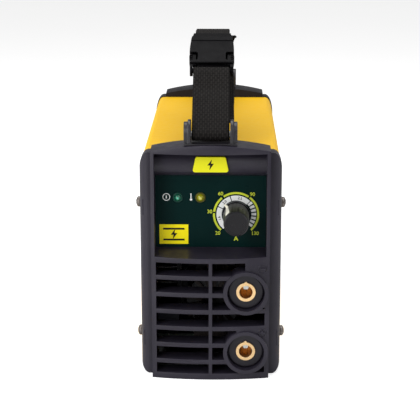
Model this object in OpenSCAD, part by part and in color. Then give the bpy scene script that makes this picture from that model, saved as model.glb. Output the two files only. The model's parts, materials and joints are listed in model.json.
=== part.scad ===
// Portable inverter stick welder: moulded front and rear bezels, a folded steel cover, a control panel
// with a current knob and two lamps, two output sockets, and a webbing carrying strap with a buckle.
// Frame: +Z up, the front faces -Y, and the origin is under the middle of the case, on the ground.

/* [Case] */
// Width over the bezel collars
body_w = 96; // [94:0.5:97]
// Length over the noses of both bezels
body_l = 250; // [244:2:270]
// Height of the bezel collars
collar_h = 157.5; // [157:0.5:158.5]
// Thickness of the folded steel sheets
sheet_t = 1; // [0.8:0.1:1]
// Rows of slots in each grille
grille_rows = 7; // [4:1:7]

/* [Controls and sockets] */
// Direction of the knob's pointer, clockwise from straight up
pointer_angle = -44; // [-135:1:136]
// Height of the knob in front of the panel
knob_h = 26; // [20:1:28]
// Radius of the bore in each output socket
socket_bore_r = 4.5; // [4:0.5:4.5]

/* [Strap] */
// Width of the webbing
webbing_w = 25; // [20:1:25]
// Thickness of the webbing
webbing_t = 1.8; // [1.4:0.1:1.8]
// Height of the top of the strap's arch
strap_peak_z = 225; // [224:1:230]

/* [Cooling and supply] */
// Blades on the fan rotor
fan_blades = 7; // [5:1:9]
// Radius of the mains cable
cable_r = 4.5; // [3.5:0.5:4.5]

/* [Hidden] */
$fn = 64;
fit = 0.05;

// Case: depths are measured back from the flat flange of the front bezel
bulge = 12;
flange_y = -body_l / 2 + bulge;
flange_t = 2.5;
collar_d = 26;
collar_top_d = 12;
collar_wall = 1.5;
shoulder_r = 6;
corner_steps = 10;
frame_w = 80;
frame_side_t = 2.3;
frame_sag = 4;
frame_r = (pow(frame_w / 2, 2) + frame_sag * frame_sag) / (2 * frame_sag);
lip_z = 158.3;
lip_top = 164.3;
lip_rise = 4.3;
lip_r = (pow(frame_w / 2, 2) + lip_rise * lip_rise) / (2 * lip_rise);
panel_d = 6.6;
panel_t = 2.5;
panel_back = panel_d + panel_t;
pocket_w = frame_w - 2 * frame_side_t;
ledge_z = 89.8;
ledge_drop = 3;
floor_t = 2.5;
collar_lip = 0.6;
cover_inset = collar_lip + 0.1;
cover_y = -(flange_y + panel_back + 0.2);
cover_bottom = 3.2;
tray_inset = cover_inset + sheet_t + fit;
tray_side_z = 18;
pan_x = 32;
pan_y = 80;

// Case screws
screw_d = 16;
screw_zs = [26, 119.5];
screw_r = 1.5;
screw_head_r = 3.6;
screw_head_h = 3.4;
boss_x = 40.5;
screw_len = 6.5;
tray_screw_z = 11.5;
tray_screw_y = 55;

// Grille
slot_top = 83.6;
slot_pitch = 12.02;
slot_h = 9;
slot_w = 74;
slot_floor = 4.4;
mid_rib = 2.3;
grille_fan_r = 38;

// Panel parts
label_t = 0.5;
label_z0 = 90.1;
label_z1 = 140.4;
roll_r = 9;
roll_d = 8;
roll_z = 149.5;
badge_z0 = 144.4;
badge_z1 = 154.9;
badge_d = -2.2;
badge_t = 4.6;
led_xs = [-22.4, -7];
led_z = 125;
led_r = 2.5;
led_holder_r = 3.7;
knob_x = 17.2;
knob_z = 113.2;
knob_skirt_r = 9.5;
knob_top_r = 8.4;
shaft_r = 3;
pot_r = 8.5;

// Output sockets
socket_x = 24.1;
neg_z = 62.5;
pos_z = 19.8;
ring_r = 15.25;
ring_d = -12.5;
recess_r = 12.7;
recess_d = -4.8;
socket_flange_t = 3;
socket_barrel_r = 10.5;
contact_r = 6.6;
contact_d = -9;
contact_len = 25;
socket_bore_len = 22;
stud_r = 4;
stud_len = 14;

// Strap
bar_y = flange_y - 1;
bar_z = 170;
bar_r = 2.5;
loop_r = bar_r + 0.08;
ear_x = 13;
ear_t = 4.8;
buckle_y = -50;
buckle_z = 214.6;
buckle_pitch = 22;
buckle_half = 25;
buckle_w = 31;
buckle_t = 9;
mouth_y = -18;
prong_x = 11.75;
prong_y = -20.6;
prong_r = 1.25;
notch_x = 9.55;
pad_y = [-14.6, -4.6];
strand_dir = 43;
strap_start = [bar_y - (loop_r + webbing_t / 2) * sin(strand_dir),
               bar_z + (loop_r + webbing_t / 2) * cos(strand_dir)];

// Rear panel, fan and supply
switch_x = -19;
switch_z = 122;
rocker_tilt = 10;
gland_x = 20;
gland_z = 122;
fan_size = 80;
fan_t = 20;
fan_z = 45.5;
fan_y = -(flange_y + panel_back) - fan_t;
fan_hole = 35.75;
fan_post_r = 4;
coil_r = 36;
coil_y = 225;
coil_turns = 3.5;
coil_pitch = 9.5;
plug_y = 182;
plug_r = 17;

// Boards and power parts
board_z = 12;
board_t = 1.6;
board_top = board_z + board_t;

function yf(d) = flange_y + d;

// Quarter of an ellipse, counter-clockwise from angle a0
function corner(cx, cy, rx, ry, a0, steps = corner_steps) =
    [for (i = [0:steps]) let (a = a0 + 90 * i / steps) [cx + rx * cos(a), cy + ry * sin(a)]];

// Outline of the case seen from the front, moved inwards by inset
function case_outline(inset) =
    let (w = body_w / 2 - inset, top = collar_h - inset,
         rx = shoulder_r - inset, bottom_rz = 8 - inset, top_rz = 12 - inset)
    concat(corner(w - rx, top - top_rz, rx, top_rz, 0), corner(-w + rx, top - top_rz, rx, top_rz, 90),
           corner(-w + rx, inset + bottom_rz, rx, bottom_rz, 180),
           corner(w - rx, inset + bottom_rz, rx, bottom_rz, 270));

// Height of the strap's arch at a distance y from the middle of the case
function arch_z(y) = strap_start[1] + (strap_peak_z - strap_start[1]) * (1 - pow(y / strap_start[0], 2));

// A point given along and above the buckle's own axis
function buckle_point(along, up = 0) =
    [buckle_y + along * cos(buckle_pitch) - up * sin(buckle_pitch),
     buckle_z + along * sin(buckle_pitch) + up * cos(buckle_pitch)];

function unit(v) = v / norm(v);
function bezier(p, t) =
    pow(1 - t, 3) * p[0] + 3 * pow(1 - t, 2) * t * p[1] + 3 * (1 - t) * t * t * p[2] + t * t * t * p[3];

// Side of a thin strip that follows a path in the Y-Z plane
function strip_side(path, offset) =
    [for (i = [0:len(path) - 1])
        let (a = path[max(i - 1, 0)], b = path[min(i + 1, len(path) - 1)], d = unit(b - a))
        path[i] + offset * [-d[1], d[0]]];
function strip(path, t) =
    let (low = strip_side(path, -t / 2), high = strip_side(path, t / 2), n = len(path))
    concat(low, [for (i = [n - 1:-1:0]) high[i]]);

// Extrudes a drawing of X and Z from y0 towards the rear
module along_y(y0, length) {
    translate([0, y0 + length, 0])
        rotate([90, 0, 0])
            linear_extrude(length) children();
}

// Extrudes a drawing of Y and Z from x0 to the right
module along_x(x0, length) {
    translate([x0, 0, 0])
        rotate([90, 0, 90])
            linear_extrude(length) children();
}

// Box given by its lowest and highest corners
module block(low, high) {
    translate(low) cube(high - low);
}

// Cylinder along Y
module rod_y(x, z, y0, y1, r, r2 = -1) {
    translate([x, y0, z])
        rotate([-90, 0, 0])
            cylinder(h = y1 - y0, r1 = r, r2 = r2 < 0 ? r : r2);
}

// Cylinder along X, centred on x = 0
module rod_x(y, z, length, r) {
    translate([-length / 2, y, z])
        rotate([0, 90, 0])
            cylinder(h = length, r = r);
}

// Hexagonal prism along Y, given by its width across flats
module hex_y(x, z, y0, y1, across) {
    translate([x, y0, z])
        rotate([-90, 0, 0])
            cylinder(h = y1 - y0, r = across / sqrt(3), $fn = 6);
}

module in_buckle() {
    translate([0, buckle_y, buckle_z])
        rotate([buckle_pitch, 0, 0])
            children();
}

// Plan of the raised centre frame: its front is one shallow arc
module frame_plan(back) {
    intersection() {
        translate([0, -body_l / 2 + frame_r]) circle(frame_r, $fn = 360);
        translate([-frame_w / 2, -body_l / 2]) square([frame_w, back + body_l / 2]);
    }
}

// Plan of the collar, with both front shoulders rounded
module collar_plan() {
    w = body_w / 2;
    polygon(concat([[w, yf(collar_d)], [-w, yf(collar_d)]],
                   corner(-w + shoulder_r, yf(shoulder_r), shoulder_r, shoulder_r, 180),
                   corner(w - shoulder_r, yf(shoulder_r), shoulder_r, shoulder_r, 270)));
}

// The arched lip seen from the front
module lip_profile(low) {
    intersection() {
        translate([0, lip_top - lip_r]) circle(lip_r, $fn = 360);
        translate([-frame_w / 2, low]) square([frame_w, lip_top - low]);
    }
}

// The collar's wall is rebated behind the panel, where its thin lip overlaps the steel cover
module bezel_collar() {
    difference() {
        intersection() {
            along_y(yf(0), collar_d) polygon(case_outline(0));
            linear_extrude(collar_h) collar_plan();
        }
        along_y(yf(flange_t), collar_d) polygon(case_outline(collar_wall));
        along_y(yf(panel_back), collar_d) polygon(case_outline(collar_lip));
        along_x(-body_w, 2 * body_w)
            polygon([[yf(collar_top_d), collar_h + 1], [yf(collar_top_d), 150], [yf(collar_d), 136],
                     [yf(collar_d + 1), 136], [yf(collar_d + 1), collar_h + 1]]);
    }
}

// Moulded bosses behind the collar that take the case screws
module screw_bosses() {
    for (side = [0, 1], z = screw_zs)
        mirror([side, 0, 0])
            block([boss_x, yf(1), z - 5.5], [body_w / 2 - cover_inset - sheet_t - 0.1, yf(22), z + 5.5]);
}

module case_screw_places() {
    for (side = [0, 1], z = screw_zs)
        mirror([side, 0, 0])
            translate([body_w / 2, yf(screw_d), z])
                rotate([0, 90, 0])
                    children();
}

// Shell that both bezels share: collar, raised frame and arched lip, with the panel pocket cut in
module bezel_shell() {
    difference() {
        union() {
            bezel_collar();
            screw_bosses();
            linear_extrude(lip_z) frame_plan(yf(panel_back));
            intersection() {
                along_y(yf(-bulge), bulge + collar_top_d) lip_profile(collar_h - collar_lip);
                linear_extrude(lip_top + 1) frame_plan(yf(collar_top_d));
            }
        }
        along_x(-pocket_w / 2, pocket_w)
            polygon([[yf(-bulge - 2), ledge_z - ledge_drop - 0.3], [yf(panel_d), ledge_z],
                     [yf(panel_d), lip_z], [yf(-bulge - 2), lip_z]]);
        block([-frame_w / 2 + 2.5, yf(flange_t), floor_t],
              [frame_w / 2 - 2.5, yf(panel_back + 1), ledge_z - 3.8]);
        case_screw_places() {
            translate([0, 0, -screw_len - 0.2]) cylinder(h = screw_len + 3, r = screw_r + fit);
        }
        case_screw_places() {
            translate([0, 0, -3]) cylinder(h = 6, r = screw_r + 0.4);
        }
    }
}

// One row of the grille, from x0 to x1
module slot(row, x0, x1) {
    top = slot_top - row * slot_pitch;
    block([x0, yf(-bulge - 4), max(top - slot_h, slot_floor)], [x1, yf(flange_t + 1), top]);
}

// Where the right-hand column of the front grille ends, row by row
function slot_end(row) = row == 0 ? 23.6 : row == 4 ? 17.8 : slot_w / 2;

module front_grille_slots() {
    difference() {
        for (row = [0:grille_rows - 1]) {
            slot(row, -slot_w / 2, -mid_rib / 2);
            slot(row, mid_rib / 2, slot_end(row));
        }
        for (z = [neg_z, pos_z]) rod_y(socket_x, z, yf(-bulge - 5), yf(flange_t + 2), ring_r + 0.2);
        for (z = [neg_z, pos_z])
            block([socket_x + 9, yf(-bulge - 5), z - 11], [slot_w / 2 + 1, yf(flange_t + 2), z + 15]);
    }
}

module badge_outline(grow = 0) {
    low = 11.9 + grow;
    high = 10.3 + grow;
    r = 1.6;
    polygon(concat(corner(low - r, badge_z0 - grow + r, r, r, 270, 5),
                   corner(high - r, badge_z1 + grow - r, r, r, 0, 5),
                   corner(-high + r, badge_z1 + grow - r, r, r, 90, 5),
                   corner(-low + r, badge_z0 - grow + r, r, r, 180, 5)));
}

module front_bezel() color([0.09, 0.09, 0.1]) {
    difference() {
        union() {
            bezel_shell();
            intersection() {
                rod_x(yf(roll_d), roll_z, pocket_w + 0.2, roll_r);
                block([-pocket_w, yf(-4), 130], [pocket_w, yf(panel_back), lip_z]);
            }
            for (z = [neg_z, pos_z]) rod_y(socket_x, z, yf(ring_d), yf(0), ring_r);
            for (x = [-30, 33], z = [99, 145]) rod_y(x, z, yf(panel_d + 1), yf(19), 3);
            for (z = [79.3, 33.5]) block([33.6, yf(-9.9), z - 0.5], [37.4, yf(-8), z + 0.5]);
            block([35, yf(-9.9), 31.6], [36, yf(-8), 35.4]);
        }
        front_grille_slots();
        for (z = [neg_z, pos_z]) {
            rod_y(socket_x, z, yf(ring_d - 1), yf(recess_d), recess_r);
            rod_y(socket_x, z, yf(recess_d - 1), yf(flange_t + 1), socket_barrel_r + fit);
        }
        for (x = led_xs) rod_y(x, led_z, yf(panel_d - 1), yf(panel_back + 1), 3.05);
        rod_y(knob_x, knob_z, yf(panel_d - 1), yf(panel_back + 1), 3.6);
        along_y(yf(badge_d - 1), badge_t + 1) badge_outline(fit);
    }
}

module rear_bezel() color([0.09, 0.09, 0.1]) {
    mirror([0, 1, 0])
        difference() {
            union() {
                bezel_shell();
                for (x = [-fan_hole, fan_hole], z = [fan_z - fan_hole, fan_z + fan_hole])
                    rod_y(x, z, yf(0), yf(panel_back), fan_post_r);
            }
            intersection() {
                for (row = [0:grille_rows - 1]) {
                    slot(row, -slot_w / 2, -mid_rib / 2);
                    slot(row, mid_rib / 2, slot_w / 2);
                }
                rod_y(0, fan_z, yf(-bulge - 5), yf(flange_t + 2), grille_fan_r);
            }
            for (x = [-fan_hole, fan_hole], z = [fan_z - fan_hole, fan_z + fan_hole]) {
                rod_y(x, z, yf(-bulge - 1), yf(-3), 3.7);
                rod_y(x, z, yf(-4), yf(panel_back + 1), 2.1);
            }
            block([switch_x - 11.1, yf(panel_d - 1), switch_z - 14.1],
                  [switch_x + 11.1, yf(panel_back + 1), switch_z + 14.1]);
            rod_y(gland_x, gland_z, yf(panel_d - 1), yf(panel_back + 1), 8);
        }
}

module top_cover() color([0.98, 0.78, 0.13]) {
    difference() {
        along_y(-cover_y, 2 * cover_y)
            difference() {
                polygon(case_outline(cover_inset));
                polygon(case_outline(cover_inset + sheet_t));
                translate([-body_w / 2, 0]) square([body_w, cover_bottom]);
            }
        for (end = [0, 1])
            mirror([0, end, 0])
                case_screw_places() {
                    translate([0, 0, -8]) cylinder(h = 10, r = screw_r + 0.4);
                }
        for (side = [0, 1], y = [-tray_screw_y, tray_screw_y])
            mirror([side, 0, 0])
                translate([38, y, tray_screw_z]) rotate([0, 90, 0]) cylinder(h = 10, r = 1.8);
    }
}

// Folded tray with a shallow pan pressed into its floor, which stands on the ground
module base_tray() color([0.55, 0.56, 0.58]) {
    floor_z = tray_inset + sheet_t;
    difference() {
        union() {
            along_y(-cover_y, 2 * cover_y)
                difference() {
                    polygon(case_outline(tray_inset));
                    polygon(case_outline(tray_inset + sheet_t));
                    translate([-body_w / 2, tray_side_z]) square([body_w, collar_h]);
                }
            block([-pan_x, -pan_y, 0], [pan_x, pan_y, floor_z]);
        }
        block([sheet_t - pan_x, sheet_t - pan_y, sheet_t], [pan_x - sheet_t, pan_y - sheet_t, floor_z + 1]);
        for (side = [0, 1], y = [-tray_screw_y, tray_screw_y])
            mirror([side, 0, 0])
                translate([38, y, tray_screw_z]) rotate([0, 90, 0]) cylinder(h = 10, r = 1.5);
    }
}

// Pan-head screw with a cross recess, its head on +Z and its shank down from z = 0
module pan_screw(r, length, head_r, head_h) {
    translate([0, 0, -length]) cylinder(h = length + 0.1, r = r);
    difference() {
        union() {
            cylinder(h = head_h * 0.5, r = head_r);
            intersection() {
                translate([0, 0, head_h - head_r * 1.6]) sphere(head_r * 1.6);
                cylinder(h = head_h, r = head_r - 0.05);
            }
        }
        for (turn = [0, 90])
            rotate([0, 0, turn])
                translate([-head_r * 0.5, -head_r * 0.11, head_h * 0.45])
                    cube([head_r, head_r * 0.22, head_h]);
    }
}

module case_screws_front() color([0.75, 0.75, 0.77]) {
    case_screw_places() pan_screw(screw_r, screw_len, screw_head_r, screw_head_h);
}

module case_screws_rear() color([0.75, 0.75, 0.77]) {
    mirror([0, 1, 0]) case_screws_front();
}

module tray_screws() color([0.75, 0.75, 0.77]) {
    for (side = [0, 1], y = [-tray_screw_y, tray_screw_y])
        mirror([side, 0, 0])
            translate([body_w / 2 - cover_inset, y, tray_screw_z])
                rotate([0, 90, 0])
                    pan_screw(1.45, 4, 2.6, 1.6);
}

module control_label() color([0.02, 0.16, 0.16]) {
    difference() {
        block([-pocket_w / 2 + 0.2, yf(panel_d - label_t), label_z0],
              [pocket_w / 2 - 0.2, yf(panel_d), label_z1]);
        for (x = led_xs) rod_y(x, led_z, yf(panel_d - 2), yf(panel_d + 1), 3.05);
        rod_y(knob_x, knob_z, yf(panel_d - 2), yf(panel_d + 1), 3.6);
    }
}

module badge_plate() color([0.98, 0.86, 0.1]) {
    along_y(yf(badge_d), badge_t) badge_outline();
}

module led_holders() color([0.45, 0.46, 0.45]) {
    for (x = led_xs)
        difference() {
            union() {
                rod_y(x, led_z, yf(panel_d - label_t - 0.9), yf(panel_d - label_t),
                      led_holder_r - 0.6, led_holder_r);
                rod_y(x, led_z, yf(panel_d - label_t - 0.1), yf(panel_back + 2), 3);
            }
            rod_y(x, led_z, yf(0), yf(panel_back + 3), led_r + fit);
        }
}

// Lamp with a domed lens and two legs
module led(x) {
    back = panel_back + 3;
    translate([x, yf(back), led_z])
        rotate([90, 0, 0])
            rotate_extrude()
                polygon(concat([[0, 0], [led_r, 0]], corner(0, back - panel_d + 0.5, led_r, led_r, 0)));
    for (leg = [-1.27, 1.27])
        rod_y(x + leg, led_z, yf(back - 0.5), yf(18.9), 0.3);
}

module led_power() color([0.1, 0.75, 0.45]) led(led_xs[0]);
module led_thermal() color([0.85, 0.82, 0.15]) led(led_xs[1]);

// Pointer insert, drawn pointing straight up: a wedge on the grip and a thin fin over the skirt
module pointer_shape(grow) {
    y_front = yf(panel_d - knob_h + 4);
    translate([0, 0, 6.6 - grow])
        linear_extrude(2.7 + grow)
            offset(delta = grow)
                polygon([[-0.9, yf(2.2)], [0.9, yf(2.2)], [1.8, y_front + 1], [1, y_front],
                         [-1, y_front], [-1.8, y_front + 1]]);
    block([-0.65 - grow, yf(0.9) - grow, 7], [0.65 + grow, yf(2.9) + grow, 11.2]);
}

module at_knob() {
    translate([knob_x, 0, knob_z]) rotate([0, pointer_angle, 0]) children();
}

module knob_body() color([0.16, 0.16, 0.16]) {
    y_front = yf(panel_d - knob_h);
    at_knob()
        difference() {
            union() {
                rod_y(0, 0, yf(3.2), yf(5.4), knob_skirt_r);
                rod_y(0, 0, yf(2.4), yf(3.3), knob_skirt_r - 1, knob_skirt_r);
                rod_y(0, 0, y_front + 0.8, yf(3), knob_top_r, knob_top_r + 0.4);
                rod_y(0, 0, y_front, y_front + 0.9, knob_top_r - 0.8, knob_top_r);
            }
            rod_y(0, 0, y_front - 0.1, y_front + 0.3, knob_top_r - 1.6);
            rod_y(0, 0, yf(1.8), yf(6), 7);
            rod_y(0, 0, y_front + 3, yf(2), shaft_r + 0.02);
            pointer_shape(0.02);
        }
}

module knob_pointer() color([0.93, 0.92, 0.85]) {
    at_knob()
        difference() {
            intersection() {
                pointer_shape(0);
                union() {
                    rod_y(0, 0, yf(panel_d - knob_h), yf(0.5), knob_top_r + 0.15, knob_top_r + 0.55);
                    rod_y(0, 0, yf(0.4), yf(4), 12);
                }
            }
            rod_y(0, 0, yf(-20), yf(0.9), 6.55);
        }
}

module pot_shaft() color([0.7, 0.7, 0.68]) {
    at_knob()
        rod_y(0, 0, yf(panel_d - knob_h + 3.2), yf(16.4), shaft_r);
}

module pot_body() color([0.3, 0.3, 0.32]) {
    difference() {
        union() {
            rod_y(knob_x, knob_z, yf(panel_back), yf(18), pot_r);
            rod_y(knob_x, knob_z, yf(2.6), yf(panel_back + 1), 3.5);
            block([knob_x - 6, yf(13), knob_z + 6], [knob_x + 6, yf(14.5), knob_z + 14]);
        }
        rod_y(knob_x, knob_z, yf(0), yf(16.5), shaft_r + fit);
    }
}

module pot_nut() color([0.75, 0.75, 0.77]) {
    difference() {
        hex_y(knob_x, knob_z, yf(panel_d - label_t - 2.1), yf(panel_d - label_t), 11);
        rod_y(knob_x, knob_z, yf(0), yf(panel_d + 1), 3.55);
    }
}

module control_board() color([0.05, 0.35, 0.15]) {
    block([-34, yf(19), 94], [37, yf(19 + board_t), 150]);
    block([-25, yf(19 + board_t), 98], [-15, yf(24), 108]);
    block([0, yf(19 + board_t), 120], [14, yf(23), 134]);
    for (x = [-5, 5, 28]) rod_y(x, 100, yf(19 + board_t), yf(29), 3);
}

module socket_body(z) color([0.1, 0.1, 0.11]) {
    difference() {
        union() {
            rod_y(socket_x, z, yf(recess_d - socket_flange_t + 0.8), yf(recess_d), recess_r - 0.2);
            rod_y(socket_x, z, yf(recess_d - socket_flange_t), yf(recess_d - socket_flange_t + 0.8),
                  recess_r - 1.4, recess_r - 0.2);
            rod_y(socket_x, z, yf(recess_d - 0.1), yf(14), socket_barrel_r);
        }
        rod_y(socket_x, z, yf(contact_d), yf(15), contact_r + fit);
    }
}

module negative_socket_body() socket_body(neg_z);
module positive_socket_body() socket_body(pos_z);

// Brass contact: a pointed collar in front, a blind bore and a threaded stud at the rear
module socket_contact(z) color([0.85, 0.68, 0.3]) {
    collar_t = recess_d - socket_flange_t - contact_d;
    difference() {
        union() {
            rod_y(socket_x, z, yf(contact_d), yf(contact_d + contact_len), contact_r);
            along_y(yf(contact_d), collar_t)
                translate([socket_x, z])
                    polygon([[-5.8, 3.1], [-3, 0], [3, 0], [5.8, 3.1], [0, 7.5]]);
            rod_y(socket_x, z, yf(contact_d + contact_len - 0.1),
                  yf(contact_d + contact_len + stud_len), stud_r);
        }
        rod_y(socket_x, z, yf(contact_d - 1), yf(contact_d + socket_bore_len), socket_bore_r);
    }
}

module negative_socket_contact() socket_contact(neg_z);
module positive_socket_contact() socket_contact(pos_z);

module socket_ring_nuts() color([0.14, 0.14, 0.15]) {
    for (z = [neg_z, pos_z])
        difference() {
            rod_y(socket_x, z, yf(flange_t), yf(7), 13.1);
            rod_y(socket_x, z, yf(flange_t - 1), yf(8), socket_barrel_r + fit);
            for (turn = [0:45:315])
                translate([socket_x, 0, z])
                    rotate([0, turn, 0])
                        block([12.2, yf(flange_t + 1), -1], [14, yf(8), 1]);
        }
}

module socket_stud_nuts() color([0.75, 0.75, 0.77]) {
    y0 = contact_d + contact_len + 2;
    for (z = [neg_z, pos_z])
        difference() {
            hex_y(socket_x, z, yf(y0), yf(y0 + 6), 13);
            rod_y(socket_x, z, yf(y0 - 1), yf(y0 + 7), stud_r + fit);
        }
}

// Copper straps from the studs to the output diodes and the choke
module output_busbars() color([0.8, 0.45, 0.28]) {
    y0 = contact_d + contact_len;
    difference() {
        union() {
            block([socket_x - 7, yf(y0), neg_z - 9], [socket_x + 7, yf(y0 + 2), neg_z + 18]);
            block([socket_x - 7, yf(y0), neg_z + 16], [socket_x + 7, -34, neg_z + 18]);
            block([-12, yf(y0), pos_z - 7], [socket_x + 9, yf(y0 + 2), pos_z + 7]);
            block([-12, yf(y0), board_top], [-10, -68, pos_z + 7]);
        }
        for (z = [neg_z, pos_z]) rod_y(socket_x, z, yf(y0 - 1), yf(y0 + 3), stud_r + fit);
    }
}

module power_board() color([0.05, 0.35, 0.15]) {
    block([-41, -72, board_z], [41, 76, board_top]);
}

module board_standoffs() color([0.75, 0.75, 0.77]) {
    z0 = tray_inset + sheet_t;
    for (x = [-37, 37], y = [-66, 2, 70])
        translate([x, y, z0]) cylinder(h = board_z - z0, r = 3.2, $fn = 6);
}

// Extruded heatsink on the right: a flat base with fins that point at the case side
module heatsink() {
    top = 104;
    block([23, -34, board_top], [26, 42, top]);
    for (z = [board_top + 2:6:top - 2]) block([25, -34, z], [41, 42, z + 1.3]);
}

module heatsink_left() color([0.78, 0.79, 0.8]) mirror([1, 0, 0]) heatsink();
module heatsink_right() color([0.78, 0.79, 0.8]) heatsink();

// Flat power package screwed to a heatsink, with three legs into the board
module power_package(y) {
    block([18, y - 8, 24], [23, y + 8, 45]);
    for (leg = [-5, 0, 5]) block([19.5, y + leg - 0.6, board_top], [20.2, y + leg + 0.6, 24]);
}

module igbts() color([0.12, 0.12, 0.13]) {
    mirror([1, 0, 0])
        for (y = [-24, -6, 12, 30]) power_package(y);
}

module output_diodes() color([0.12, 0.12, 0.13]) {
    for (y = [-22, 0, 22]) power_package(y);
}

module bridge_rectifier() color([0.2, 0.2, 0.22]) {
    difference() {
        block([-14, 12, board_top], [14, 40, board_top + 10]);
        translate([0, 26, board_top - 1]) cylinder(h = 12, r = 2.5);
    }
}

module bus_capacitors() color([0.1, 0.14, 0.3]) {
    for (x = [-27, 0, 27])
        translate([x, 60, board_top])
            difference() {
                cylinder(h = 46, r = 11);
                translate([0, 0, 45.4]) cylinder(h = 1, r = 9.6);
            }
}

// Ferrite core of two halves around one middle leg
module transformer_core() color([0.22, 0.22, 0.23]) {
    difference() {
        block([-12, -40, board_top], [12, 6, board_top + 46]);
        block([-13, -34, board_top + 6], [13, -23, board_top + 40]);
        block([-13, -11, board_top + 6], [13, 0, board_top + 40]);
    }
}

module transformer_winding() color([0.75, 0.5, 0.15]) {
    difference() {
        block([-17, -33.5, board_top + 7], [17, -0.5, board_top + 39]);
        block([-12.2, -23.2, board_top + 6], [12.2, -10.8, board_top + 40]);
    }
}

choke_y = -56;
choke_z = board_top + 22.2;
module choke_core() color([0.85, 0.8, 0.3]) {
    difference() {
        rod_y(2, choke_z, choke_y - 6, choke_y + 6, 20);
        rod_y(2, choke_z, choke_y - 7, choke_y + 7, 11);
    }
}

module choke_winding() color([0.8, 0.42, 0.2]) {
    for (turn = [0:20:340])
        translate([2, choke_y, choke_z])
            rotate([0, turn, 0])
                difference() {
                    block([-1.2, -8.2, 8.8], [1.2, 8.2, 22.2]);
                    block([-2, -6.1, 10.75], [2, 6.1, 20.15]);
                }
}

module soft_start_relay() color([0.15, 0.2, 0.45]) {
    block([-39, -64, board_top], [-24, -46, board_top + 15]);
}

// Rocker switch: the housing clips into the rear panel, and the rocker turns on two trunnions
rocker_y = -(flange_y + panel_d) - 2.4;
module switch_body() color([0.1, 0.1, 0.11]) {
    y_panel = -(flange_y + panel_d);
    difference() {
        union() {
            block([switch_x - 12.5, y_panel, switch_z - 16],
                  [switch_x + 12.5, y_panel + 2, switch_z + 16]);
            block([switch_x - 11, y_panel - 18, switch_z - 14],
                  [switch_x + 11, y_panel + 0.1, switch_z + 14]);
        }
        block([switch_x - 8.3, y_panel - 9, switch_z - 12.4],
              [switch_x + 8.3, y_panel + 3, switch_z + 12.4]);
        translate([switch_x, rocker_y, switch_z]) rod_x(0, 0, 18.4, 1.5 + fit);
    }
    for (x = [-6, 0, 6])
        block([switch_x + x - 0.4, y_panel - 26, switch_z - 3],
              [switch_x + x + 0.4, y_panel - 17.9, switch_z + 3]);
}

module switch_rocker() color([0.55, 0.08, 0.06]) {
    translate([switch_x, rocker_y, switch_z]) {
        rod_x(0, 0, 18.2, 1.5);
        rotate([rocker_tilt, 0, 0])
            along_x(-8, 16)
                polygon([[-3, -4], [1, -11.2], [6.4, -11.2], [4.6, 0], [6.4, 11.2], [1, 11.2], [-3, 4]]);
    }
}

module fan_frame() color([0.1, 0.1, 0.11]) {
    difference() {
        union() {
            difference() {
                translate([0, fan_y + fan_t / 2, fan_z]) cube([fan_size, fan_t, fan_size], center = true);
                rod_y(0, fan_z, fan_y - 1, fan_y + fan_t + 1, 38);
            }
            rod_y(0, fan_z, fan_y, fan_y + 3, 14);
            for (turn = [45:90:315])
                translate([0, 0, fan_z])
                    rotate([0, turn, 0])
                        block([12, fan_y, -1.5], [39, fan_y + 3, 1.5]);
            rod_y(0, fan_z, fan_y + 2.9, fan_y + 9, 4);
        }
        rod_y(0, fan_z, fan_y + 1, fan_y + 10, 1.5 + fit);
        for (x = [-fan_hole, fan_hole], z = [fan_z - fan_hole, fan_z + fan_hole])
            rod_y(x, z, fan_y - 1, fan_y + fan_t + 1, 1.95);
    }
}

module fan_rotor() color([0.16, 0.16, 0.17]) {
    difference() {
        union() {
            rod_y(0, fan_z, fan_y + 4, fan_y + 17, 15);
            intersection() {
                for (i = [0:fan_blades - 1])
                    translate([0, fan_y + 10.5, fan_z])
                        rotate([0, i * 360 / fan_blades, 0])
                            rotate([0, 0, 38])
                                block([-9, -0.8, 10], [9, 0.8, 40]);
                rod_y(0, fan_z, fan_y + 4.2, fan_y + 17, 36.8);
            }
        }
        rod_y(0, fan_z, fan_y + 3, fan_y + 14, 10);
    }
    rod_y(0, fan_z, fan_y + 1.6, fan_y + 15, 1.5);
}

module fan_screws() color([0.2, 0.2, 0.21]) {
    for (x = [-fan_hole, fan_hole], z = [fan_z - fan_hole, fan_z + fan_hole])
        translate([x, -yf(-3), z])
            rotate([-90, 0, 0])
                pan_screw(1.9, 28, 3.4, 2.4);
}

module cable_gland() color([0.12, 0.12, 0.13]) {
    y_panel = -(flange_y + panel_d);
    difference() {
        union() {
            rod_y(gland_x, gland_z, y_panel - 10, y_panel + 0.1, 7.9);
            hex_y(gland_x, gland_z, y_panel, y_panel + 5, 22);
            rod_y(gland_x, gland_z, y_panel + 5, y_panel + 12, 10.2);
            rod_y(gland_x, gland_z, y_panel + 12, y_panel + 17, 10.2, 6.4);
        }
        rod_y(gland_x, gland_z, y_panel - 11, y_panel + 18, cable_r + 0.1);
    }
}

module gland_nut() color([0.12, 0.12, 0.13]) {
    y_inner = -(flange_y + panel_back);
    difference() {
        hex_y(gland_x, gland_z, y_inner - 4, y_inner, 21);
        rod_y(gland_x, gland_z, y_inner - 5, y_inner + 1, 7.95);
    }
}

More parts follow.
